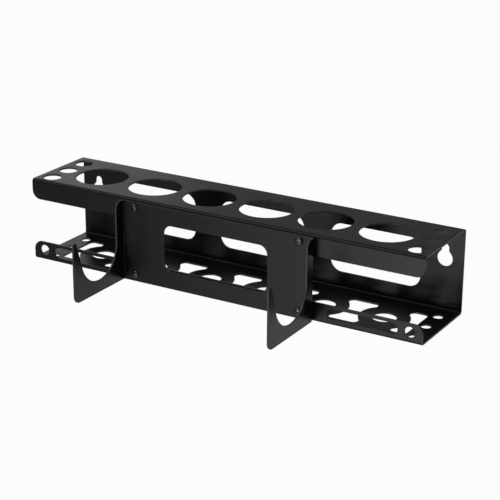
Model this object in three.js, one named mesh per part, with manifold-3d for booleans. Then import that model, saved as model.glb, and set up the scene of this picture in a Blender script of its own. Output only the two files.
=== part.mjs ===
// Wall rack for hair-styling tools. A bent-sheet channel holds the tools in round holes, and a second bent
// sheet, bolted across the channel's open front, carries a J-shaped hook at each side.
// Millimetres. +X runs along the rack, +Z is up, the wall is the plane y = 0 and the rack stands out towards -Y.
// Heights below are measured from the rack's underside and depths from the wall. The group is then lowered, so
// that the origin lies on the wall face, at mid-length, in the band above the back windows.
import * as THREE from "three";
import { mergeVertices } from "three/addons/utils/BufferGeometryUtils.js";
import Module from "manifold-3d";

const wasm = await Module();
wasm.setup();

// Sheet metal
const sheet = 2;
const bendOuter = 3.5;
const bendInner = bendOuter - sheet;
const contactGap = 0.3;
const overcut = 1;

// Channel
const rackLength = 480;
const rackDepth = 98;
const rackHeight = 94.3;
const topLip = 23;
const bottomLip = 21.6;
const lipCorner = 10;
const originHeight = 82;

// Tool holes in the top shelf, and the smaller holes at each end of it
const toolCount = 6;
const toolPitch = 70.7;
const toolRowDepth = 52;
const toolRadius = 29.5;
const endHoleX = 223.8;
const endHolePitch = 29.8;
const endHoleRadius = 10.1;

// Bottom shelf: a ring under each tool hole, with a waisted opening between neighbouring rings
const ringRowDepth = 53.2;
const ringInner = 13;
const ringOuter = 27.4;
const openingStart = 18.7; // from a ring's centre to the straight side of the opening next to it
const openingHalf = 29; // half of the opening's length across the shelf
const openingCorner = 5;
const lastOpeningX = 214.3;
const drainRadius = 5.4;

// Back windows and keyholes
const windowWidth = 106;
const windowBottom = 19.4;
const windowTop = 74.3;
const windowPitch = 139;
const windowCorner = 13.5;
const keyholeX = 218.7;
const keyholeHeight = 58.3;
const keyholeRadius = 8.7;
const keyholeSlotHalf = 4.25;
const keyholeTop = 74.4;
const keyholeFillet = 5;

// Bottom lip
const lipSlotX = 172.5;
const lipSlotLength = 80;
const lipSlotWidth = 12;
const lipHoleX = 226;
const lipHoleRadius = 5.8;
const lipSlotHeight = 12;

// Hook bracket
const bracketHalf = 117.7; // to the outside of each wing
const bracketBottom = 0.6;
const bracketTop = 91.4;
const bracketBack = rackDepth + contactGap;
const bracketWindowHalf = 63.7;
const bracketWindowBottom = 20;
const bracketWindowTop = 72.3;
const bracketWindowCorner = 10;
const hookFront = 190.3;
const hookToe = 8.5; // radius of the hook's lower front corner
const hookStrip = 112.8; // depth of the strip's front edge, beside the plate
const stripCorner = 8;
const notchRadius = 32;
const notchHeight = 46.1;
const prongTop = 68;
const prongSlope = THREE.MathUtils.degToRad(17.6); // of the prong's inner edge, from the vertical

// Fasteners: M5 button-head screws with washers and nuts
const screwX = 101;
const screwInset = 8.7; // from the shelf's outer face
const clearanceRadius = 2.9;
const shankRadius = 2.5;
const screwLength = 12;
const headRadius = 4.75;
const headHeight = 2.75;
const headRim = 0.5;
const headFlat = 2.2;
const socketFlats = 3;
const socketDepth = 1.6;
const washerRadius = 5;
const washerThickness = 1;
const boreRadius = shankRadius + contactGap;
const nutFlats = 8;
const nutHeight = 4;

const powderCoat = { color: 0x1c1c1d, roughness: 0.55, metalness: 0.1 };
const darkSteel = { color: 0x4a4a4c, roughness: 0.3, metalness: 0.9 };

const axes = {
  x: [new THREE.Vector3(0, -1, 0), new THREE.Vector3(0, 0, 1), new THREE.Vector3(-1, 0, 0)],
  y: [new THREE.Vector3(1, 0, 0), new THREE.Vector3(0, 0, 1), new THREE.Vector3(0, -1, 0)],
  z: [new THREE.Vector3(1, 0, 0), new THREE.Vector3(0, 1, 0), new THREE.Vector3(0, 0, 1)],
};

// A closed geometry as a solid that can be joined and cut.
function solid(geometry) {
  geometry.deleteAttribute("normal");
  geometry.deleteAttribute("uv");
  const merged = mergeVertices(geometry);
  return new wasm.Manifold(new wasm.Mesh({
    numProp: 3,
    vertProperties: new Float32Array(merged.attributes.position.array),
    triVerts: new Uint32Array(merged.index.array),
  }));
}

// An outline swept along one axis from start to end. Along x the outline's coordinates are depth and height,
// along y they are x and height, and along z they are x and y.
function prism(outline, axis, start, end, curveSegments) {
  const depth = end - start;
  const geometry = new THREE.ExtrudeGeometry(outline, { depth, bevelEnabled: false, curveSegments });
  geometry.translate(0, 0, axis === "z" ? start : -end);
  geometry.applyMatrix4(new THREE.Matrix4().makeBasis(...axes[axis]));
  return geometry;
}

function circle(x, y, radius) {
  return new THREE.Shape().absarc(x, y, radius, 0, 2 * Math.PI, false);
}

function roundedRectangle(left, right, bottom, top, radius) {
  const outline = new THREE.Shape();
  outline.absarc(right - radius, top - radius, radius, 0, Math.PI / 2, false);
  outline.absarc(left + radius, top - radius, radius, Math.PI / 2, Math.PI, false);
  outline.absarc(left + radius, bottom + radius, radius, Math.PI, 1.5 * Math.PI, false);
  outline.absarc(right - radius, bottom + radius, radius, 1.5 * Math.PI, 2 * Math.PI, false);
  outline.closePath();
  return outline;
}

function regularHexagon(flats) {
  const outline = new THREE.Shape();
  for (let i = 0; i < 6; i += 1) {
    const angle = (i * Math.PI) / 3;
    const radius = flats / Math.sqrt(3);
    const point = [radius * Math.cos(angle), radius * Math.sin(angle)];
    if (i === 0) outline.moveTo(...point);
    else outline.lineTo(...point);
  }
  outline.closePath();
  return outline;
}

// The channel's section: four bends, walked along the outside from the bottom lip and back along the inside.
function channelSection() {
  const near = bendOuter;
  const far = rackDepth - bendOuter;
  const low = bendOuter;
  const high = rackHeight - bendOuter;
  const bends = [[far, low], [near, low], [near, high], [far, high]];
  const quarter = Math.PI / 2;
  const outline = new THREE.Shape();
  bends.forEach(([depth, height], i) => {
    outline.absarc(depth, height, bendOuter, -i * quarter, -(i + 1) * quarter, true);
  });
  outline.lineTo(rackDepth, rackHeight - topLip);
  outline.lineTo(rackDepth - sheet, rackHeight - topLip);
  [...bends].reverse().forEach(([depth, height], i) => {
    outline.absarc(depth, height, bendInner, i * quarter, (i + 1) * quarter, false);
  });
  outline.lineTo(rackDepth - sheet, bottomLip);
  outline.lineTo(rackDepth, bottomLip);
  outline.closePath();
  return outline;
}

// What is cut away outside a rounded corner. side is the end of the rack it is at (1 or -1), and up is 1 for an
// upper corner and -1 for a lower one.
function cornerWaste(side, up, height) {
  const x = (side * rackLength) / 2;
  const start = up * side > 0 ? 1 : -1;
  const outline = new THREE.Shape();
  outline.moveTo(x + side * overcut, height + up * overcut);
  outline.lineTo(x - side * lipCorner, height + up * overcut);
  outline.absarc(
    x - side * lipCorner, height - up * lipCorner, lipCorner,
    Math.atan2(up, 0), Math.atan2(0, side) * Math.sign(up), start > 0,
  );
  outline.lineTo(x + side * overcut, height - up * lipCorner);
  outline.closePath();
  return outline;
}

// The opening between two rings, drawn about its own centre, with a ring's edge on each side.
function waistedOpening() {
  const half = toolPitch / 2;
  const side = half - openingStart;
  const reach = Math.acos(openingStart / ringOuter);
  const cornerX = side - openingCorner;
  const cornerY = openingHalf - openingCorner;
  const outline = new THREE.Shape();
  outline.absarc(half, 0, ringOuter, Math.PI + reach, Math.PI - reach, true);
  outline.absarc(cornerX, cornerY, openingCorner, 0, Math.PI / 2, false);
  outline.absarc(-cornerX, cornerY, openingCorner, Math.PI / 2, Math.PI, false);
  outline.absarc(-half, 0, ringOuter, reach, -reach, true);
  outline.absarc(-cornerX, -cornerY, openingCorner, Math.PI, 1.5 * Math.PI, false);
  outline.absarc(cornerX, -cornerY, openingCorner, 1.5 * Math.PI, 2 * Math.PI, false);
  outline.closePath();
  return outline;
}

// The opening outside the last ring, drawn about that ring's centre, with one straight side.
function endOpening() {
  const reach = Math.acos(openingStart / ringOuter);
  const innerX = openingStart + openingCorner;
  const outerX = lastOpeningX - ringX(toolCount - 1) - openingCorner;
  const cornerY = openingHalf - openingCorner;
  const outline = new THREE.Shape();
  outline.absarc(0, 0, ringOuter, reach, -reach, true);
  outline.absarc(innerX, -cornerY, openingCorner, Math.PI, 1.5 * Math.PI, false);
  outline.absarc(outerX, -cornerY, openingCorner, 1.5 * Math.PI, 2 * Math.PI, false);
  outline.absarc(outerX, cornerY, openingCorner, 0, Math.PI / 2, false);
  outline.absarc(innerX, cornerY, openingCorner, Math.PI / 2, Math.PI, false);
  outline.closePath();
  return outline;
}

// A round hole to pass a screw head, and a slot above it with a fillet on each side.
function keyhole(x) {
  const filletX = keyholeSlotHalf + keyholeFillet;
  const filletHeight = Math.sqrt((keyholeRadius + keyholeFillet) ** 2 - filletX ** 2);
  const angle = Math.atan2(filletHeight, filletX);
  const height = keyholeHeight;
  const outline = new THREE.Shape();
  outline.absarc(x, height, keyholeRadius, Math.PI - angle, 2 * Math.PI + angle, false);
  outline.absarc(x + filletX, height + filletHeight, keyholeFillet, Math.PI + angle, Math.PI, true);
  outline.absarc(x, keyholeTop - keyholeSlotHalf, keyholeSlotHalf, 0, Math.PI, false);
  outline.absarc(x - filletX, height + filletHeight, keyholeFillet, 0, -angle, true);
  outline.closePath();
  return outline;
}

function ringX(index) {
  return (index - (toolCount - 1) / 2) * toolPitch;
}

// The three small holes at each end of a shelf.
function endHoles(radius, rowDepth) {
  return [-1, 1].flatMap((side) => [-1, 0, 1].map(
    (row) => circle(side * endHoleX, row * endHolePitch - rowDepth, radius),
  ));
}

function topShelfCuts() {
  const low = rackHeight - sheet - overcut;
  const high = rackHeight + overcut;
  const cuts = endHoles(endHoleRadius, toolRowDepth).map((outline) => prism(outline, "z", low, high, 10));
  for (let i = 0; i < toolCount; i += 1) {
    cuts.push(prism(circle(ringX(i), -toolRowDepth, toolRadius), "z", low, high, 20));
  }
  return cuts;
}

function bottomShelfCuts() {
  const low = -overcut;
  const high = sheet + overcut;
  const cuts = endHoles(drainRadius, ringRowDepth).map((outline) => prism(outline, "z", low, high, 8));
  for (let i = 0; i < toolCount; i += 1) {
    cuts.push(prism(circle(ringX(i), -ringRowDepth, ringInner), "z", low, high, 14));
  }
  for (let i = 0; i < toolCount - 1; i += 1) {
    const opening = prism(waistedOpening(), "z", low, high, 4);
    cuts.push(opening.translate(ringX(i) + toolPitch / 2, -ringRowDepth, 0));
  }
  for (const side of [-1, 1]) {
    const opening = prism(endOpening(), "z", low, high, 4);
    if (side < 0) opening.rotateZ(Math.PI);
    cuts.push(opening.translate(side * ringX(toolCount - 1), -ringRowDepth, 0));
  }
  return cuts;
}

function backCuts() {
  const outlines = [-1, 0, 1].map((column) => roundedRectangle(
    column * windowPitch - windowWidth / 2, column * windowPitch + windowWidth / 2,
    windowBottom, windowTop, windowCorner,
  ));
  outlines.push(keyhole(-keyholeX), keyhole(keyholeX));
  return outlines.map((outline) => prism(outline, "y", -sheet - overcut, overcut, 5));
}

function screwPlaces() {
  return [-1, 1].flatMap((side) => [
    { name: side < 0 ? "left" : "right", level: "upper", x: side * screwX, height: rackHeight - screwInset },
    { name: side < 0 ? "left" : "right", level: "lower", x: side * screwX, height: screwInset },
  ]);
}

function lipCuts() {
  const outlines = screwPlaces().map(({ x, height }) => circle(x, height, clearanceRadius));
  for (const side of [-1, 1]) {
    const slotCentre = side * lipSlotX;
    outlines.push(roundedRectangle(
      slotCentre - lipSlotLength / 2, slotCentre + lipSlotLength / 2,
      lipSlotHeight - lipSlotWidth / 2, lipSlotHeight + lipSlotWidth / 2, lipSlotWidth / 2,
    ));
    outlines.push(circle(side * lipHoleX, lipSlotHeight, lipHoleRadius));
    outlines.push(cornerWaste(side, 1, bottomLip), cornerWaste(side, -1, rackHeight - topLip));
  }
  return outlines.map((outline) => prism(outline, "y", -rackDepth - overcut, sheet + overcut - rackDepth, 5));
}

function rackChannel() {
  const blank = solid(prism(channelSection(), "x", -rackLength / 2, rackLength / 2, 3));
  const cuts = [...topShelfCuts(), ...bottomShelfCuts(), ...backCuts(), ...lipCuts()];
  return cuts.reduce((body, cut) => body.subtract(solid(cut)), blank);
}

// The bracket seen from above: a plate with a wing bent forward at each side.
function bracketSection() {
  const back = -bracketBack;
  const front = -hookFront;
  const bendX = bracketHalf - bendOuter;
  const bendY = back - bendOuter;
  const outline = new THREE.Shape();
  outline.absarc(bendX, bendY, bendOuter, 0, Math.PI / 2, false);
  outline.absarc(-bendX, bendY, bendOuter, Math.PI / 2, Math.PI, false);
  outline.lineTo(-bracketHalf, front);
  outline.lineTo(-bracketHalf + sheet, front);
  outline.absarc(-bendX, bendY, bendInner, Math.PI, Math.PI / 2, true);
  outline.absarc(bendX, bendY, bendInner, Math.PI / 2, 0, true);
  outline.lineTo(bracketHalf - sheet, front);
  outline.lineTo(bracketHalf, front);
  outline.closePath();
  return outline;
}

// The wings seen from the side: a strip beside the plate, a round notch open at the top, and a pointed prong.
function hookOutline() {
  const notchDepth = hookStrip + notchRadius;
  const slope = new THREE.Vector2(Math.cos(prongSlope), -Math.sin(prongSlope));
  const inner = new THREE.Vector2(notchDepth, notchHeight).addScaledVector(slope, notchRadius);
  const tipRadius = prongTipRadius(inner, slope);
  const outline = new THREE.Shape();
  outline.absarc(hookFront - hookToe, bracketBottom + hookToe, hookToe, -Math.PI / 2, 0, false);
  outline.absarc(hookFront - tipRadius, prongTop - tipRadius, tipRadius, 0, Math.PI - prongSlope, false);
  outline.absarc(notchDepth, notchHeight, notchRadius, -prongSlope, -Math.PI, true);
  outline.absarc(hookStrip - stripCorner, bracketTop - stripCorner, stripCorner, 0, Math.PI / 2, false);
  outline.lineTo(bracketBack - overcut, bracketTop);
  outline.lineTo(bracketBack - overcut, bracketBottom);
  outline.closePath();
  return outline;
}

// The radius that touches the prong's front edge, its top and its sloping inner edge.
function prongTipRadius(inner, slope) {
  const across = slope.x * (hookFront - inner.x) + slope.y * (prongTop - inner.y);
  return across / (1 + slope.x + slope.y);
}

function hookBracket() {
  const blank = solid(prism(bracketSection(), "z", bracketBottom, bracketTop, 3));
  const shape = solid(prism(hookOutline(), "x", -bracketHalf - overcut, bracketHalf + overcut, 8));
  const plateBack = -bracketBack + overcut;
  const plateFront = -bracketBack - sheet - overcut;
  const outlines = screwPlaces().map(({ x, height }) => circle(x, height, clearanceRadius));
  outlines.push(roundedRectangle(
    -bracketWindowHalf, bracketWindowHalf, bracketWindowBottom, bracketWindowTop, bracketWindowCorner,
  ));
  const cuts = outlines.map((outline) => prism(outline, "y", plateFront, plateBack, 5));
  return cuts.reduce((body, cut) => body.subtract(solid(cut)), blank.intersect(shape));
}

// Fasteners are drawn with +Z pointing out of the screw's head, and z = 0 at the face they press on.
function buttonHeadScrew() {
  const chamfer = 0.6;
  const domeRise = headHeight - headRim;
  const profile = [
    new THREE.Vector2(0, -screwLength),
    new THREE.Vector2(shankRadius - chamfer, -screwLength),
    new THREE.Vector2(shankRadius, chamfer - screwLength),
    new THREE.Vector2(shankRadius, 0),
    new THREE.Vector2(headRadius, 0),
  ];
  for (let i = 0; i <= 4; i += 1) {
    const angle = (i * Math.PI) / 8;
    const radius = headFlat + (headRadius - headFlat) * Math.cos(angle);
    profile.push(new THREE.Vector2(radius, headRim + domeRise * Math.sin(angle)));
  }
  profile.push(new THREE.Vector2(0, headHeight));
  const turned = new THREE.LatheGeometry(profile, 20).rotateX(Math.PI / 2);
  const socket = prism(regularHexagon(socketFlats), "z", headHeight - socketDepth, headHeight + overcut);
  return solid(turned).subtract(solid(socket));
}

function washer() {
  const outline = circle(0, 0, washerRadius);
  outline.holes.push(new THREE.Path().absarc(0, 0, boreRadius, 0, 2 * Math.PI, true));
  return solid(prism(outline, "z", -washerThickness, 0, 10));
}

function hexNut() {
  const outline = regularHexagon(nutFlats);
  outline.holes.push(new THREE.Path().absarc(0, 0, boreRadius, 0, 2 * Math.PI, true));
  return solid(prism(outline, "z", -nutHeight, 0, 10));
}

function namedMesh(name, body, material) {
  const { vertProperties, triVerts } = body.getMesh();
  const geometry = new THREE.BufferGeometry();
  geometry.setAttribute("position", new THREE.BufferAttribute(vertProperties, 3));
  geometry.setIndex(new THREE.BufferAttribute(triVerts, 1));
  geometry.computeVertexNormals();
  const mesh = new THREE.Mesh(geometry, new THREE.MeshStandardMaterial(material));
  mesh.name = name;
  return mesh;
}

const rack = new THREE.Group();
rack.position.z = -originHeight;
rack.add(namedMesh("rack_channel", rackChannel(), powderCoat));
rack.add(namedMesh("hook_bracket", hookBracket(), powderCoat));

const lipBack = rackDepth - sheet;
const fastenerDepths = {
  screw: bracketBack + sheet + contactGap,
  washer: lipBack - contactGap,
  nut: lipBack - 2 * contactGap - washerThickness,
};
const fastenerBodies = { screw: buttonHeadScrew(), washer: washer(), nut: hexNut() };
for (const { name, level, x, height } of screwPlaces()) {
  for (const [kind, depth] of Object.entries(fastenerDepths)) {
    const mesh = namedMesh(`${kind}_${level}_${name}`, fastenerBodies[kind], darkSteel);
    mesh.position.set(x, -depth, height);
    mesh.rotation.x = Math.PI / 2;
    rack.add(mesh);
  }
}

export default rack;
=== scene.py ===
"""The looks of a wall rack for hair-styling tools: two bent sheets in black powder coat, held together by
four screws. Each CAD node is replaced by a finely made piece on the same dimensions. Lengths are in
millimetres until a mesh is written. Heights are measured from the rack's underside and depths from the
wall, as in the CAD model."""

import math

import bpy
from mathutils import Matrix, Vector
from mathutils.geometry import delaunay_2d_cdt


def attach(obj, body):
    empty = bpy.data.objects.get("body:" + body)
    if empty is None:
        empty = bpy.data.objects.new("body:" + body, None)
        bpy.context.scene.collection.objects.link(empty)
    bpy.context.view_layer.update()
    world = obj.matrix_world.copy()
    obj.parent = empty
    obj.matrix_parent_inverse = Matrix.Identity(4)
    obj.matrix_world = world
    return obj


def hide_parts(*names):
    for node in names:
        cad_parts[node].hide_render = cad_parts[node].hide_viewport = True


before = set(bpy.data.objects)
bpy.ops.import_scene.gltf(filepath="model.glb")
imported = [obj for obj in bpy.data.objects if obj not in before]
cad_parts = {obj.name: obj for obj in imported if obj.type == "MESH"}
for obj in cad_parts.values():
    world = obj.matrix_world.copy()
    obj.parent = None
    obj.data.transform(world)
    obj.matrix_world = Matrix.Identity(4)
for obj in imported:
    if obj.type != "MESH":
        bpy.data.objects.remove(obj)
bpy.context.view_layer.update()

MM = 0.001
ORIGIN_HEIGHT = 82.0
TOLERANCE = 1e-4
QUARTER = math.pi / 2

# Sheet metal
SHEET = 2.0
BEND_OUTER = 3.5
BEND_MIDDLE = BEND_OUTER - SHEET / 2
BEND_STEPS = 6
EDGE_RADIUS = 0.35
EDGE_STEPS = 3
ARC_STEP = math.radians(4)

# Channel
LENGTH = 480.0
DEPTH = 98.0
HEIGHT = 94.3
TOP_LIP = 23.0
BOTTOM_LIP = 21.6
LIP_CORNER = 10.0
TOOL_COUNT = 6
TOOL_PITCH = 70.7
TOOL_ROW = 52.0
TOOL_RADIUS = 29.5
END_HOLE_X = 223.8
END_HOLE_PITCH = 29.8
END_HOLE_RADIUS = 10.1
RING_ROW = 53.2
RING_INNER = 13.0
RING_OUTER = 27.4
OPENING_START = 18.7
OPENING_HALF = 29.0
OPENING_CORNER = 5.0
LAST_OPENING_X = 214.3
DRAIN_RADIUS = 5.4
WINDOW_WIDTH = 106.0
WINDOW_BOTTOM = 19.4
WINDOW_TOP = 74.3
WINDOW_PITCH = 139.0
WINDOW_CORNER = 13.5
KEYHOLE_X = 218.7
KEYHOLE_HEIGHT = 58.3
KEYHOLE_RADIUS = 8.7
KEYHOLE_SLOT_HALF = 4.25
KEYHOLE_TOP = 74.4
KEYHOLE_FILLET = 5.0
LIP_SLOT_X = 172.5
LIP_SLOT_LENGTH = 80.0
LIP_SLOT_WIDTH = 12.0
LIP_HOLE_X = 226.0
LIP_HOLE_RADIUS = 5.8
LIP_SLOT_HEIGHT = 12.0

# Hook bracket
CONTACT_GAP = 0.3
BRACKET_HALF = 117.7
BRACKET_BOTTOM = 0.6
BRACKET_TOP = 91.4
BRACKET_BACK = DEPTH + CONTACT_GAP
BRACKET_WINDOW_HALF = 63.7
BRACKET_WINDOW_BOTTOM = 20.0
BRACKET_WINDOW_TOP = 72.3
BRACKET_WINDOW_CORNER = 10.0
HOOK_FRONT = 190.3
HOOK_TOE = 8.5
HOOK_STRIP = 112.8
STRIP_CORNER = 8.0
NOTCH_RADIUS = 32.0
NOTCH_HEIGHT = 46.1
PRONG_TOP = 68.0
PRONG_SLOPE = math.radians(17.6)

# Fasteners
SCREW_X = 101.0
SCREW_INSET = 8.7
CLEARANCE_RADIUS = 2.9
SHANK_RADIUS = 2.5
SCREW_LENGTH = 12.0
COLUMNS = 48
THREAD_PITCH = 0.8
THREAD_DEPTH = 0.46
THREAD_STEP = 0.1
THREAD_END = 0.4
THREAD_STEEPNESS = 2.4
THREAD_CREST = 0.15
TIP_CHAMFER = 0.7
HEAD_RADIUS = 4.75
HEAD_HEIGHT = 2.75
HEAD_RIM = 0.5
HEAD_EASE = 0.12
HEAD_FLAT = 2.2
DOME_STEPS = 10
SOCKET_FLATS = 3.0
SOCKET_DEPTH = 1.6
SOCKET_CHAMFER = 0.17
DRILL_POINT_DEPTH = 0.4
DRILL_POINT_RADIUS = 0.05
WASHER_RADIUS = 5.0
WASHER_THICKNESS = 1.0
WASHER_CLEARANCE = 0.15
WASHER_EASE = 0.12
NUT_FLATS = 8.0
NUT_HEIGHT = 4.0
NUT_CLEARANCE = 0.05
NUT_COUNTERSINK = 0.35
NUT_FACE_RADIUS = 0.95 * NUT_FLATS / 2
NUT_CHAMFER = math.radians(30)
JOINT_GAP = 0.1
SOCKET_TURNS = {"upper_left": 17, "lower_left": 41, "upper_right": 5, "lower_right": 29}

# Colours, linear
COAT_DARK = (0.0090, 0.0090, 0.0094, 1)
COAT_LIGHT = (0.0125, 0.0125, 0.0128, 1)
COAT_SPECK = (0.030, 0.030, 0.031, 1)
# Painted highlight on the rounded cut edges of the sheets
COAT_EDGE_HIGHLIGHT = (0.16, 0.16, 0.165, 1)
STEEL_DARK = (0.090, 0.090, 0.094, 1)
STEEL_LIGHT = (0.190, 0.188, 0.185, 1)

# Stage and camera, in metres and degrees
FLOOR_HEIGHT = -0.6
FLOOR_HALF = 200.0
FLOOR_GLOW = 0.97
LIGHT_DISTANCE = 3.0
CAMERA_LENS = 113.12
CAMERA_SENSOR = 36
CAMERA_PLACE = (0.81499, -1.41248, 0.54414)
CAMERA_HEADING = 30.457
CAMERA_TILT = 69.751
CAMERA_ROLL = 0.357


# ---------------------------------------------------------------- outlines in the flat sheet

def arc(x, y, radius, start, end):
    """Points along an arc, both ends included. Angles in radians, either way round."""
    steps = max(4, math.ceil(abs(end - start) / ARC_STEP))
    angles = [start + (end - start) * i / steps for i in range(steps + 1)]
    return [(x + radius * math.cos(a), y + radius * math.sin(a)) for a in angles]


def circle(x, y, radius):
    return arc(x, y, radius, 0, 2 * math.pi)[:-1]


def rounded_rectangle(left, right, bottom, top, radius):
    return tidy_loop(
        arc(right - radius, top - radius, radius, 0, QUARTER)
        + arc(left + radius, top - radius, radius, QUARTER, 2 * QUARTER)
        + arc(left + radius, bottom + radius, radius, 2 * QUARTER, 3 * QUARTER)
        + arc(right - radius, bottom + radius, radius, 3 * QUARTER, 4 * QUARTER)
    )


def tidy_loop(points):
    """The closed loop without points that repeat the one before them."""
    kept = []
    for point in points:
        if not kept or math.dist(point, kept[-1]) > TOLERANCE:
            kept.append(point)
    if math.dist(kept[0], kept[-1]) <= TOLERANCE:
        kept.pop()
    return kept


def waisted_opening():
    """The opening between two rings, about its own centre."""
    half = TOOL_PITCH / 2
    side = half - OPENING_START
    reach = math.acos(OPENING_START / RING_OUTER)
    corner_x = side - OPENING_CORNER
    corner_y = OPENING_HALF - OPENING_CORNER
    return tidy_loop(
        arc(half, 0, RING_OUTER, math.pi + reach, math.pi - reach)
        + arc(corner_x, corner_y, OPENING_CORNER, 0, QUARTER)
        + arc(-corner_x, corner_y, OPENING_CORNER, QUARTER, 2 * QUARTER)
        + arc(-half, 0, RING_OUTER, reach, -reach)
        + arc(-corner_x, -corner_y, OPENING_CORNER, 2 * QUARTER, 3 * QUARTER)
        + arc(corner_x, -corner_y, OPENING_CORNER, 3 * QUARTER, 4 * QUARTER)
    )


def end_opening():
    """The opening outside the last ring, about that ring's centre."""
    reach = math.acos(OPENING_START / RING_OUTER)
    inner_x = OPENING_START + OPENING_CORNER
    outer_x = LAST_OPENING_X - ring_x(TOOL_COUNT - 1) - OPENING_CORNER
    corner_y = OPENING_HALF - OPENING_CORNER
    return tidy_loop(
        arc(0, 0, RING_OUTER, reach, -reach)
        + arc(inner_x, -corner_y, OPENING_CORNER, 2 * QUARTER, 3 * QUARTER)
        + arc(outer_x, -corner_y, OPENING_CORNER, 3 * QUARTER, 4 * QUARTER)
        + arc(outer_x, corner_y, OPENING_CORNER, 0, QUARTER)
        + arc(inner_x, corner_y, OPENING_CORNER, QUARTER, 2 * QUARTER)
    )


def keyhole():
    """A keyhole centred on x = 0, in x and height."""
    fillet_x = KEYHOLE_SLOT_HALF + KEYHOLE_FILLET
    fillet_rise = math.sqrt((KEYHOLE_RADIUS + KEYHOLE_FILLET) ** 2 - fillet_x**2)
    fillet_y = KEYHOLE_HEIGHT + fillet_rise
    angle = math.atan2(fillet_rise, fillet_x)
    return tidy_loop(
        arc(0, KEYHOLE_HEIGHT, KEYHOLE_RADIUS, math.pi - angle, 2 * math.pi + angle)
        + arc(fillet_x, fillet_y, KEYHOLE_FILLET, math.pi + angle, math.pi)
        + arc(0, KEYHOLE_TOP - KEYHOLE_SLOT_HALF, KEYHOLE_SLOT_HALF, 0, math.pi)
        + arc(-fillet_x, fillet_y, KEYHOLE_FILLET, 0, -angle)
    )


def ring_x(index):
    return (index - (TOOL_COUNT - 1) / 2) * TOOL_PITCH


def moved(points, x=0.0, y=0.0):
    return [(px + x, py + y) for px, py in points]


# ---------------------------------------------------------------- bent sheets

class BentSheet:
    """A sheet with quarter bends, all turning the same way. In the flat, u runs along the bends and v across
    them. The section is walked in its own plane, along the middle of the sheet, from one free edge to the
    other."""

    def __init__(self, start, direction, normal, flats):
        self.parts = []
        point, along, out = Vector(start), Vector(direction), Vector(normal)
        v = 0.0
        for i, flat in enumerate(flats):
            self.parts.append(("flat", v, flat, point.copy(), along.copy(), out.copy()))
            point = point + along * flat
            v += flat
            if i < len(flats) - 1:
                length = BEND_MIDDLE * QUARTER
                self.parts.append(("bend", v, length, point.copy(), along.copy(), out.copy()))
                point = point - out * BEND_MIDDLE + along * BEND_MIDDLE
                along, out = -out, along
                v += length
        self.width = v

    def flat_start(self, index):
        return [part[1] for part in self.parts if part[0] == "flat"][index]

    def bend_lines(self):
        lines = []
        for kind, start, length, *_ in self.parts:
            if kind == "bend":
                lines += [start + length * i / BEND_STEPS for i in range(BEND_STEPS + 1)]
        return lines

    def place(self, v):
        """The point on the middle of the sheet at v, the way v runs there, and the outward normal."""
        for kind, start, length, point, along, out in self.parts:
            if v <= start + length + 1e-6:
                break
        if kind == "flat":
            return point + along * (v - start), along, out
        angle = (v - start) / BEND_MIDDLE
        turned_out = out * math.cos(angle) + along * math.sin(angle)
        turned_along = along * math.cos(angle) - out * math.sin(angle)
        return point - out * BEND_MIDDLE + turned_out * BEND_MIDDLE, turned_along, turned_out


def signed_area(loop):
    return 0.5 * sum(a[0] * b[1] - b[0] * a[1] for a, b in zip(loop, loop[1:] + loop[:1]))


def outward_normals(loop):
    """Unit normals in the flat at each point of a loop, pointing away from the metal on its left."""
    normals = []
    for i, here in enumerate(loop):
        before = Vector(here) - Vector(loop[i - 1])
        after = Vector(loop[(i + 1) % len(loop)]) - Vector(here)
        tangent = before.normalized() + after.normalized()
        normals.append(Vector((tangent.y, -tangent.x)).normalized())
    return normals


def edge_profile():
    """The rounded edge of the sheet from its inner to its outer face: inset, height above the middle and the
    normal's share of each."""
    profile = []
    for side in (-1, 1):
        for i in range(EDGE_STEPS + 1):
            turn = i / EDGE_STEPS if side > 0 else 1 - i / EDGE_STEPS
            angle = turn * QUARTER
            inset = EDGE_RADIUS * (1 - math.cos(angle))
            height = side * (SHEET / 2 - EDGE_RADIUS + EDGE_RADIUS * math.sin(angle))
            profile.append((inset, height, math.cos(angle), side * math.sin(angle)))
    return profile


def inside(point, loop):
    """Whether a point lies within a closed loop."""
    x, y = point
    crossings = 0
    for (ax, ay), (bx, by) in zip(loop, loop[1:] + loop[:1]):
        if (ay > y) != (by > y) and x < ax + (y - ay) * (bx - ax) / (by - ay):
            crossings += 1
    return crossings % 2 == 1


def fill_flat(loops, extra_edges):
    """Triangles between the first loop and the others, which are holes. Indices count the loops' points in
    turn. The extra edges are cut into the triangles too."""
    points = [Vector(point) for loop in loops for point in loop]
    edges = list(extra_edges)
    first = 0
    for loop in loops:
        edges += [(first + i, first + (i + 1) % len(loop)) for i in range(len(loop))]
        first += len(loop)
    verts, _, faces, origins, _, _ = delaunay_2d_cdt(points, edges, [], 0, 1e-5)
    triangles = []
    for face in faces:
        centre = sum((verts[i] for i in face), Vector((0, 0))) / len(face)
        if inside(centre, loops[0]) and not any(inside(centre, hole) for hole in loops[1:]):
            triangles.append([origins[i][0] for i in face])
    return triangles


def sheet_points(bent, loops, to_row):
    """The points of the rounded edge round every loop, with their normals and how far each faces sideways."""
    verts, normals, sideways_shares = [], [], []
    profile = edge_profile()
    for loop in loops:
        for (u, v), normal in zip(loop, outward_normals(loop)):
            for inset, height, sideways, upright in profile:
                point, along, out = bent.place(v - normal.y * inset)
                verts.append(to_row(point + out * height, u - normal.x * inset) * MM)
                facing = along * (normal.y * sideways) + out * upright
                direction = to_row(facing, normal.x * sideways) - to_row(Vector((0, 0)), 0)
                normals.append(direction.normalized())
                sideways_shares.append(sideways)
    return verts, normals, sideways_shares


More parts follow.
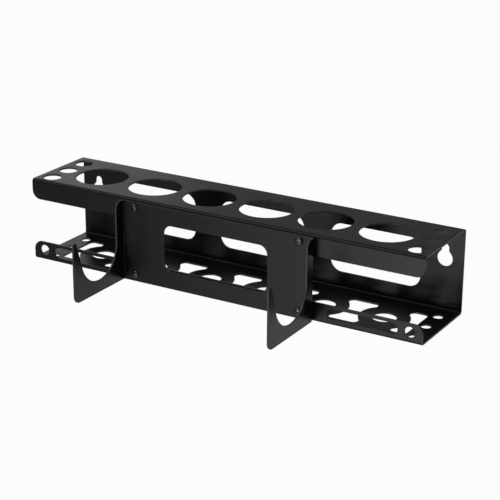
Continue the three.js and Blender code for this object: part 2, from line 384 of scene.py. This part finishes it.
def edge_faces(loops):
    """The strips of the rounded edge round every loop."""
    rings = len(edge_profile())
    faces = []
    first = 0
    for loop in loops:
        for i in range(len(loop)):
            here = (first + i) * rings
            beyond = (first + (i + 1) % len(loop)) * rings
            for k in range(rings - 1):
                faces.append((here + k, beyond + k, beyond + k + 1, here + k + 1))
        first += len(loop)
    return faces


def wide_faces(bent, loops):
    """The inner and outer faces of the sheet, cut along every line of its bends."""
    rings = len(edge_profile())
    crossings = {line: [] for line in bent.bend_lines()}
    for i, (_, v) in enumerate(loops[0]):
        for line in crossings:
            if abs(v - line) < TOLERANCE:
                crossings[line].append(i)
    bends = [tuple(sorted(pair, key=lambda i: loops[0][i][0])) for pair in crossings.values()]
    inset_loops = []
    for loop in loops:
        pairs = zip(loop, outward_normals(loop))
        inset_loops.append([(u - n.x * EDGE_RADIUS, v - n.y * EDGE_RADIUS) for (u, v), n in pairs])
    faces = []
    for triangle in fill_flat(inset_loops, bends):
        faces.append([i * rings + rings - 1 for i in triangle])
        faces.append([i * rings for i in reversed(triangle)])
    return faces


def sheet_mesh(name, bent, outline, holes, to_row):
    """A bent sheet of even thickness with rounded edges. to_row turns a section point and u into row axes."""
    loops = [outline if signed_area(outline) > 0 else outline[::-1]]
    loops += [hole if signed_area(hole) < 0 else hole[::-1] for hole in holes]
    verts, normals, sideways_shares = sheet_points(bent, loops, to_row)
    mesh = bpy.data.meshes.new(name)
    mesh.from_pydata(verts, [], edge_faces(loops) + wide_faces(bent, loops))
    mesh.validate()
    turn_faces_outward(mesh, normals)
    mesh.polygons.foreach_set("use_smooth", [True] * len(mesh.polygons))
    mesh.normals_split_custom_set_from_vertices(normals)
    layer = mesh.attributes.new("edge", "FLOAT", "POINT")
    layer.data.foreach_set("value", sideways_shares)
    mesh.update()
    return mesh


def turn_faces_outward(mesh, normals):
    for polygon in mesh.polygons:
        wanted = sum((normals[i] for i in polygon.vertices), Vector())
        if polygon.normal.dot(wanted) < 0:
            polygon.flip()
    mesh.update()


def screw_places():
    for side, x in (("left", -SCREW_X), ("right", SCREW_X)):
        yield f"upper_{side}", x, HEIGHT - SCREW_INSET
        yield f"lower_{side}", x, SCREW_INSET


def channel_section():
    """The channel from the free edge of its bottom lip, round the back, to the free edge of its top lip."""
    shelf = DEPTH - 2 * BEND_OUTER
    back = HEIGHT - 2 * BEND_OUTER
    flats = [BOTTOM_LIP - BEND_OUTER, shelf, back, shelf, TOP_LIP - BEND_OUTER]
    return BentSheet((DEPTH - SHEET / 2, BOTTOM_LIP), (0, -1), (1, 0), flats)


def channel_faces(bent):
    """For each face of the channel, a function that carries points to the flat sheet. The points are in x and
    height on the lips and the back, and in x and depth on the shelves."""
    def face(v_at_zero, way):
        return lambda points: [(x, v_at_zero + way * y) for x, y in points]

    return {
        "bottom_lip": face(bent.flat_start(0) + BOTTOM_LIP, -1),
        "bottom_shelf": face(bent.flat_start(1) + DEPTH - BEND_OUTER, -1),
        "back": face(bent.flat_start(2) - BEND_OUTER, 1),
        "top_shelf": face(bent.flat_start(3) - BEND_OUTER, 1),
        "top_lip": face(bent.flat_start(4) + HEIGHT - BEND_OUTER, -1),
    }


def row_holes(on):
    """The tool holes, and the rings' holes and the waisted openings under them."""
    holes = []
    for i in range(TOOL_COUNT):
        holes.append(on["top_shelf"](circle(ring_x(i), TOOL_ROW, TOOL_RADIUS)))
        holes.append(on["bottom_shelf"](circle(ring_x(i), RING_ROW, RING_INNER)))
    for i in range(TOOL_COUNT - 1):
        middle = ring_x(i) + TOOL_PITCH / 2
        holes.append(on["bottom_shelf"](moved(waisted_opening(), middle, RING_ROW)))
    return holes


def end_holes(on, side):
    """The holes near one end: end opening, keyhole, lip hole and slot, small top holes and drain holes."""
    mirrored = [(side * x, y) for x, y in end_opening()]
    slot = rounded_rectangle(
        side * LIP_SLOT_X - LIP_SLOT_LENGTH / 2, side * LIP_SLOT_X + LIP_SLOT_LENGTH / 2,
        LIP_SLOT_HEIGHT - LIP_SLOT_WIDTH / 2, LIP_SLOT_HEIGHT + LIP_SLOT_WIDTH / 2, LIP_SLOT_WIDTH / 2,
    )
    holes = [
        on["bottom_shelf"](moved(mirrored, side * ring_x(TOOL_COUNT - 1), RING_ROW)),
        on["back"](moved(keyhole(), side * KEYHOLE_X)),
        on["bottom_lip"](circle(side * LIP_HOLE_X, LIP_SLOT_HEIGHT, LIP_HOLE_RADIUS)),
        on["bottom_lip"](slot),
    ]
    for row in (-1, 0, 1):
        x, offset = side * END_HOLE_X, row * END_HOLE_PITCH
        holes.append(on["top_shelf"](circle(x, TOOL_ROW + offset, END_HOLE_RADIUS)))
        holes.append(on["bottom_shelf"](circle(x, RING_ROW + offset, DRAIN_RADIUS)))
    return holes


def back_windows(on):
    half = WINDOW_WIDTH / 2
    middles = [column * WINDOW_PITCH for column in (-1, 0, 1)]
    return [
        on["back"](rounded_rectangle(x - half, x + half, WINDOW_BOTTOM, WINDOW_TOP, WINDOW_CORNER))
        for x in middles
    ]


def lip_screw_holes(on):
    holes = []
    for _, x, height in screw_places():
        lip = "top_lip" if height > HEIGHT / 2 else "bottom_lip"
        holes.append(on[lip](circle(x, height, CLEARANCE_RADIUS)))
    return holes


def channel_outline(bent):
    """The edge of the flat sheet, with a point where each line of its bends meets it."""
    half = LENGTH / 2
    lines = bent.bend_lines()
    corner = half - LIP_CORNER
    top = bent.width - LIP_CORNER
    return tidy_loop(
        arc(corner, LIP_CORNER, LIP_CORNER, -QUARTER, 0)
        + [(half, v) for v in lines]
        + arc(corner, top, LIP_CORNER, 0, QUARTER)
        + arc(-corner, top, LIP_CORNER, QUARTER, 2 * QUARTER)
        + [(-half, v) for v in reversed(lines)]
        + arc(-corner, LIP_CORNER, LIP_CORNER, 2 * QUARTER, 3 * QUARTER)
    )


def channel_mesh():
    bent = channel_section()
    on = channel_faces(bent)
    holes = row_holes(on) + end_holes(on, -1) + end_holes(on, 1) + back_windows(on) + lip_screw_holes(on)

    def to_row(section, u):
        return Vector((u, -section.x, section.y - ORIGIN_HEIGHT))

    return sheet_mesh("rack_channel", bent, channel_outline(bent), holes, to_row)


def hook_path():
    """The right wing's edge in depth and height, from below the bend, round the hook, to above the bend."""
    notch_depth = HOOK_STRIP + NOTCH_RADIUS
    across = Vector((math.cos(PRONG_SLOPE), -math.sin(PRONG_SLOPE)))
    inner = Vector((notch_depth, NOTCH_HEIGHT)) + across * NOTCH_RADIUS
    room = across.x * (HOOK_FRONT - inner.x) + across.y * (PRONG_TOP - inner.y)
    tip = room / (1 + across.x + across.y)
    return (
        arc(HOOK_FRONT - HOOK_TOE, BRACKET_BOTTOM + HOOK_TOE, HOOK_TOE, -QUARTER, 0)
        + arc(HOOK_FRONT - tip, PRONG_TOP - tip, tip, 0, math.pi - PRONG_SLOPE)
        + arc(notch_depth, NOTCH_HEIGHT, NOTCH_RADIUS, -PRONG_SLOPE, -math.pi)
        + arc(HOOK_STRIP - STRIP_CORNER, BRACKET_TOP - STRIP_CORNER, STRIP_CORNER, 0, QUARTER)
    )


def bracket_mesh():
    bend_depth = BRACKET_BACK + BEND_OUTER
    bend_x = BRACKET_HALF - BEND_OUTER
    wing = HOOK_FRONT - bend_depth
    start = (-BRACKET_HALF + SHEET / 2, -HOOK_FRONT)
    bent = BentSheet(start, (0, 1), (-1, 0), [wing, 2 * bend_x, wing])
    plate_start = bent.flat_start(1)
    right_start = bent.flat_start(2)

    def on_plate(points):
        return [(height, plate_start + x + bend_x) for x, height in points]

    right = [(height, right_start + depth - bend_depth) for depth, height in hook_path()]
    left = [(height, bent.width - v) for height, v in reversed(right)]
    lines = bent.bend_lines()
    outline = (
        [(BRACKET_BOTTOM, v) for v in lines]
        + right
        + [(BRACKET_TOP, v) for v in reversed(lines)]
        + left
    )
    holes = [on_plate(rounded_rectangle(
        -BRACKET_WINDOW_HALF, BRACKET_WINDOW_HALF,
        BRACKET_WINDOW_BOTTOM, BRACKET_WINDOW_TOP, BRACKET_WINDOW_CORNER,
    ))]
    holes += [on_plate(circle(x, height, CLEARANCE_RADIUS)) for _, x, height in screw_places()]

    def to_row(section, u):
        return Vector((section.x, section.y, u - ORIGIN_HEIGHT))

    return sheet_mesh("hook_bracket", bent, tidy_loop(outline), holes, to_row)


# ---------------------------------------------------------------- fasteners, along +Z from the seat at z = 0


def hexagon_radius(angle, flats):
    """The distance from a hexagon's centre to its edge. Its corners are at multiples of 60 degrees."""
    sector = math.pi / 3
    return flats / 2 / math.cos((angle % sector) - sector / 2)


def turned_mesh(name, rings, closed, sharp_angle):
    """A skin over rings. Each ring is a function from an angle to a radius and a height. A closed profile
    joins its last ring to its first, and an open one is capped at both ends."""
    verts = []
    for ring in rings:
        for i in range(COLUMNS):
            angle = 2 * math.pi * i / COLUMNS
            radius, height = ring(angle)
            verts.append(Vector((radius * math.cos(angle), radius * math.sin(angle), height)) * MM)
    faces = []
    for j in range(len(rings) if closed else len(rings) - 1):
        low = j * COLUMNS
        high = (j + 1) % len(rings) * COLUMNS
        for i in range(COLUMNS):
            beyond = (i + 1) % COLUMNS
            faces.append((low + i, low + beyond, high + beyond, high + i))
    if not closed:
        faces.append(tuple(reversed(range(COLUMNS))))
        faces.append(tuple(range((len(rings) - 1) * COLUMNS, len(rings) * COLUMNS)))
    mesh = bpy.data.meshes.new(name)
    mesh.from_pydata(verts, [], faces)
    mesh.polygons.foreach_set("use_smooth", [True] * len(mesh.polygons))
    mesh.set_sharp_from_angle(angle=sharp_angle)
    mesh.update()
    return mesh


def round_ring(radius, height):
    return lambda angle: (radius, height)


def thread_ring(height):
    """A ring through a right-hand thread, which fades out at the tip and under the head."""
    fade = min(1, (height + SCREW_LENGTH) / THREAD_PITCH, -height / THREAD_PITCH)

    def ring(angle):
        phase = (height / THREAD_PITCH - angle / (2 * math.pi)) % 1
        groove = min(1, max(0, THREAD_STEEPNESS * abs(phase - 0.5) - THREAD_CREST))
        tip = SHANK_RADIUS - max(0, TIP_CHAMFER - height - SCREW_LENGTH)
        return min(SHANK_RADIUS - THREAD_DEPTH * groove * fade, tip), height

    return ring


def screw_mesh():
    rings = []
    rows = round((SCREW_LENGTH - THREAD_END) / THREAD_STEP)
    for i in range(rows + 1):
        rings.append(thread_ring(-SCREW_LENGTH + THREAD_STEP * i))
    rings.append(round_ring(SHANK_RADIUS, 0))
    rings.append(round_ring(HEAD_RADIUS - HEAD_EASE, 0))
    rings.append(round_ring(HEAD_RADIUS, HEAD_EASE))
    rise = HEAD_HEIGHT - HEAD_RIM
    for i in range(DOME_STEPS + 1):
        angle = i * QUARTER / DOME_STEPS
        radius = HEAD_FLAT + (HEAD_RADIUS - HEAD_FLAT) * math.cos(angle)
        rings.append(round_ring(radius, HEAD_RIM + rise * math.sin(angle)))

    def socket_ring(widening, height):
        return lambda angle: (hexagon_radius(angle, SOCKET_FLATS + widening), height)

    floor = HEAD_HEIGHT - SOCKET_DEPTH
    rings.append(socket_ring(2 * SOCKET_CHAMFER, HEAD_HEIGHT))
    rings.append(socket_ring(0, HEAD_HEIGHT - SOCKET_CHAMFER))
    rings.append(socket_ring(0, floor))
    rings.append(round_ring(SOCKET_FLATS / 2, floor))
    rings.append(round_ring(DRILL_POINT_RADIUS, floor - DRILL_POINT_DEPTH))
    return turned_mesh("screw", rings, closed=False, sharp_angle=math.radians(35))


def washer_mesh():
    bore = SHANK_RADIUS + WASHER_CLEARANCE
    ease = WASHER_EASE
    rings = [
        round_ring(bore, -ease),
        round_ring(bore, ease - WASHER_THICKNESS),
        round_ring(bore + ease, -WASHER_THICKNESS),
        round_ring(WASHER_RADIUS - ease, -WASHER_THICKNESS),
        round_ring(WASHER_RADIUS, ease - WASHER_THICKNESS),
        round_ring(WASHER_RADIUS, -ease),
        round_ring(WASHER_RADIUS - ease, 0),
        round_ring(bore + ease, 0),
    ]
    return turned_mesh("washer", rings, closed=True, sharp_angle=math.radians(60))


def nut_mesh():
    bore = SHANK_RADIUS + NUT_CLEARANCE

    def chamfer_drop(angle):
        return (hexagon_radius(angle, NUT_FLATS) - NUT_FACE_RADIUS) * math.tan(NUT_CHAMFER)

    def upper(angle):
        return hexagon_radius(angle, NUT_FLATS), -chamfer_drop(angle)

    def lower(angle):
        return hexagon_radius(angle, NUT_FLATS), chamfer_drop(angle) - NUT_HEIGHT

    rings = [
        round_ring(bore, -NUT_COUNTERSINK),
        round_ring(bore, NUT_COUNTERSINK - NUT_HEIGHT),
        round_ring(bore + NUT_COUNTERSINK, -NUT_HEIGHT),
        round_ring(NUT_FACE_RADIUS, -NUT_HEIGHT),
        lower,
        upper,
        round_ring(NUT_FACE_RADIUS, 0),
        round_ring(bore + NUT_COUNTERSINK, 0),
    ]
    return turned_mesh("nut", rings, closed=True, sharp_angle=math.radians(25))


# ---------------------------------------------------------------- materials

class Surface:
    """A material in the making. Its methods add nodes and hand back the socket that carries their result."""

    def __init__(self, name):
        self.material = bpy.data.materials.new(name)
        self.material.use_nodes = True
        self.nodes = self.material.node_tree.nodes
        self.links = self.material.node_tree.links
        self.shader = self.nodes["Principled BSDF"]

    def connect(self, value, socket):
        self.links.new(value, socket)

    def place(self):
        return self.nodes.new("ShaderNodeTexCoord").outputs["Object"]

    def noise(self, place, scale, detail, roughness=0.5):
        node = self.nodes.new("ShaderNodeTexNoise")
        node.inputs["Scale"].default_value = scale
        node.inputs["Detail"].default_value = detail
        node.inputs["Roughness"].default_value = roughness
        self.connect(place, node.inputs["Vector"])
        return node.outputs["Fac"]

    def spread(self, value, to_low, to_high, from_low=0.3, from_high=0.7):
        """The value mapped between two ranges. A noise lies mostly between 0.3 and 0.7."""
        node = self.nodes.new("ShaderNodeMapRange")
        node.inputs["From Min"].default_value = from_low
        node.inputs["From Max"].default_value = from_high
        node.inputs["To Min"].default_value = to_low
        node.inputs["To Max"].default_value = to_high
        self.connect(value, node.inputs["Value"])
        return node.outputs["Result"]

    def combine(self, operation, first, second):
        node = self.nodes.new("ShaderNodeMath")
        node.operation = operation
        for socket, value in zip(node.inputs, (first, second)):
            if isinstance(value, (int, float)):
                socket.default_value = value
            else:
                self.connect(value, socket)
        return node.outputs["Value"]

    def blend(self, factor, first, second):
        """A mix of two colours, each a fixed colour or a socket."""
        node = self.nodes.new("ShaderNodeMix")
        node.data_type = "RGBA"
        self.connect(factor, node.inputs["Factor"])
        for name, value in (("A", first), ("B", second)):
            socket = [s for s in node.inputs if s.name == name and s.type == "RGBA"][0]
            if isinstance(value, tuple):
                socket.default_value = value
            else:
                self.connect(value, socket)
        return [s for s in node.outputs if s.type == "RGBA"][0]

    def emboss(self, height, strength, distance):
        bump = self.nodes.new("ShaderNodeBump")
        bump.inputs["Strength"].default_value = strength
        bump.inputs["Distance"].default_value = distance
        self.connect(height, bump.inputs["Height"])
        self.connect(bump.outputs["Normal"], self.shader.inputs["Normal"])


def powder_coat():
    """Satin black powder coat: a fine orange peel, cloudy roughness, pale specks and a painted edge
    highlight.
    """
    surface = Surface("powder_coat")
    place = surface.place()
    peel = surface.noise(place, scale=900, detail=3, roughness=0.55)
    grain = surface.noise(place, scale=3200, detail=2)
    clouds = surface.noise(place, scale=14, detail=4, roughness=0.6)
    specks = surface.noise(place, scale=1500, detail=1)
    edge = surface.nodes.new("ShaderNodeAttribute")
    edge.attribute_name = "edge"

    body = surface.blend(surface.spread(clouds, 0, 1), COAT_DARK, COAT_LIGHT)
    speck_mask = surface.spread(specks, 0, 0.5, from_low=0.66, from_high=0.74)
    speckled = surface.blend(speck_mask, body, COAT_SPECK)
    # The rounded cut edges are painted paler, patchy with the peel: a painted highlight
    edge_highlight = surface.combine("MULTIPLY", edge.outputs["Fac"], surface.spread(peel, 0.45, 0.9))
    surface.connect(surface.blend(edge_highlight, speckled, COAT_EDGE_HIGHLIGHT), surface.shader.inputs["Base Color"])

    cloudy = surface.spread(clouds, 0.34, 0.40)
    rough = surface.combine("ADD", cloudy, surface.spread(grain, -0.03, 0.03))
    surface.connect(rough, surface.shader.inputs["Roughness"])
    height = surface.combine("ADD", peel, surface.combine("MULTIPLY", grain, 0.25))
    surface.emboss(height, strength=0.2, distance=0.00002)
    return surface.material


def dark_steel():
    """Black-oxidised steel with a slightly uneven sheen."""
    surface = Surface("dark_steel")
    place = surface.place()
    blotches = surface.noise(place, scale=500, detail=4, roughness=0.6)
    grain = surface.noise(place, scale=4000, detail=2)
    colour = surface.blend(surface.spread(blotches, 0, 1), STEEL_DARK, STEEL_LIGHT)
    surface.connect(colour, surface.shader.inputs["Base Color"])
    surface.shader.inputs["Metallic"].default_value = 0.9
    surface.connect(surface.spread(blotches, 0.18, 0.30), surface.shader.inputs["Roughness"])
    surface.emboss(grain, strength=0.3, distance=0.00001)
    return surface.material


def floor_material():
    """A pale, evenly lit floor that is seen only from above."""
    surface = Surface("floor")
    shader = surface.shader
    shader.inputs["Base Color"].default_value = (0.02, 0.02, 0.02, 1)
    shader.inputs["Roughness"].default_value = 1
    shader.inputs["Specular IOR Level"].default_value = 0
    shader.inputs["Emission Color"].default_value = (1, 1, 1, 1)
    shader.inputs["Emission Strength"].default_value = FLOOR_GLOW
    clear = surface.nodes.new("ShaderNodeBsdfTransparent")
    mix = surface.nodes.new("ShaderNodeMixShader")
    side = surface.nodes.new("ShaderNodeNewGeometry")
    surface.connect(side.outputs["Backfacing"], mix.inputs["Fac"])
    surface.connect(shader.outputs["BSDF"], mix.inputs[1])
    surface.connect(clear.outputs["BSDF"], mix.inputs[2])
    surface.connect(mix.outputs["Shader"], surface.nodes["Material Output"].inputs["Surface"])
    return surface.material


# ---------------------------------------------------------------- the object

def add_piece(name, mesh, material, node):
    piece = bpy.data.objects.new(name, mesh)
    bpy.context.scene.collection.objects.link(piece)
    if not mesh.materials:
        mesh.materials.append(material)
    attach(piece, "root")
    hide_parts(node)
    return piece


def add_sheets():
    coat = powder_coat()
    add_piece("channel_sheet", channel_mesh(), coat, "rack_channel")
    add_piece("bracket_sheet", bracket_mesh(), coat, "hook_bracket")


def add_fasteners():
    """A screw from the front, and a washer and a nut behind the lip, at each corner of the bracket."""
    steel = dark_steel()
    lip_back = DEPTH - SHEET
    seats = {
        "screw": (screw_mesh(), BRACKET_BACK + SHEET + JOINT_GAP),
        "washer": (washer_mesh(), lip_back - JOINT_GAP),
        "nut": (nut_mesh(), lip_back - 2 * JOINT_GAP - WASHER_THICKNESS),
    }
    facing = Matrix.Rotation(QUARTER, 4, "X")
    for place_name, x, height in screw_places():
        spin = Matrix.Rotation(math.radians(SOCKET_TURNS[place_name]), 4, "Z")
        for kind, (mesh, depth) in seats.items():
            node = f"{kind}_{place_name}"
            piece = add_piece(f"{node}_detail", mesh, steel, node)
            where = Matrix.Translation(Vector((x, -depth, height - ORIGIN_HEIGHT)) * MM)
            piece.matrix_world = where @ facing @ spin


# ---------------------------------------------------------------- stage, light and camera

def add_floor():
    mesh = bpy.data.meshes.new("floor")
    sides = ((-1, -1), (1, -1), (1, 1), (-1, 1))
    corners = [(x * FLOOR_HALF, y * FLOOR_HALF, FLOOR_HEIGHT) for x, y in sides]
    mesh.from_pydata(corners, [], [(0, 1, 2, 3)])
    mesh.materials.append(floor_material())
    floor = bpy.data.objects.new("floor", mesh)
    bpy.context.scene.collection.objects.link(floor)
    floor.visible_diffuse = False
    floor.visible_glossy = False
    floor.visible_shadow = False


def add_softbox(name, azimuth, elevation, width, power):
    """A round softbox that faces the rack, in degrees, metres and watts. Azimuth 0 is in front of the rack
    and 90 to its right."""
    light = bpy.data.lights.new(name, "AREA")
    light.shape = "DISK"
    light.size = width
    light.energy = power
    lamp = bpy.data.objects.new(name, light)
    turn = math.radians(azimuth)
    rise = math.radians(elevation)
    away = Vector((math.sin(turn) * math.cos(rise), -math.cos(turn) * math.cos(rise), math.sin(rise)))
    lamp.location = away * LIGHT_DISTANCE
    lamp.rotation_mode = "QUATERNION"
    lamp.rotation_quaternion = away.to_track_quat("Z", "Y")
    lamp.visible_camera = False
    bpy.context.scene.collection.objects.link(lamp)


def add_lights():
    add_softbox("overhead", azimuth=0, elevation=60, width=0.9, power=8)
    add_softbox("upper_left", azimuth=-54, elevation=54, width=1.5, power=7)
    add_softbox("front", azimuth=-13, elevation=-14, width=0.9, power=7.9)
    add_softbox("front_low", azimuth=-15, elevation=-35, width=0.9, power=5)
    add_softbox("back_right", azimuth=145, elevation=-23, width=0.9, power=2.5)
    add_softbox("back_left", azimuth=-137, elevation=12, width=0.9, power=2.2)
    add_softbox("back_left_high", azimuth=-155, elevation=20, width=0.9, power=0.4)
    add_softbox("behind", azimuth=165, elevation=40, width=1.5, power=8)
    add_softbox("below", azimuth=20, elevation=-78, width=1.5, power=3)


def add_world(strength):
    world = bpy.data.worlds.new("studio")
    world.use_nodes = True
    background = world.node_tree.nodes["Background"]
    background.inputs["Color"].default_value = (1, 1, 1, 1)
    background.inputs["Strength"].default_value = strength
    bpy.context.scene.world = world


def add_camera():
    data = bpy.data.cameras.new("camera")
    data.lens = CAMERA_LENS
    data.sensor_width = CAMERA_SENSOR
    camera = bpy.data.objects.new("camera", data)
    heading = Matrix.Rotation(math.radians(CAMERA_HEADING), 4, "Z")
    tilt = Matrix.Rotation(math.radians(CAMERA_TILT), 4, "X")
    roll = Matrix.Rotation(math.radians(CAMERA_ROLL), 4, "Z")
    camera.matrix_world = Matrix.Translation(CAMERA_PLACE) @ heading @ tilt @ roll
    bpy.context.scene.collection.objects.link(camera)
    bpy.context.scene.camera = camera


add_sheets()
add_fasteners()
add_floor()
add_lights()
add_world(strength=0.11)
add_camera()
bpy.context.scene.view_settings.view_transform = "Standard"
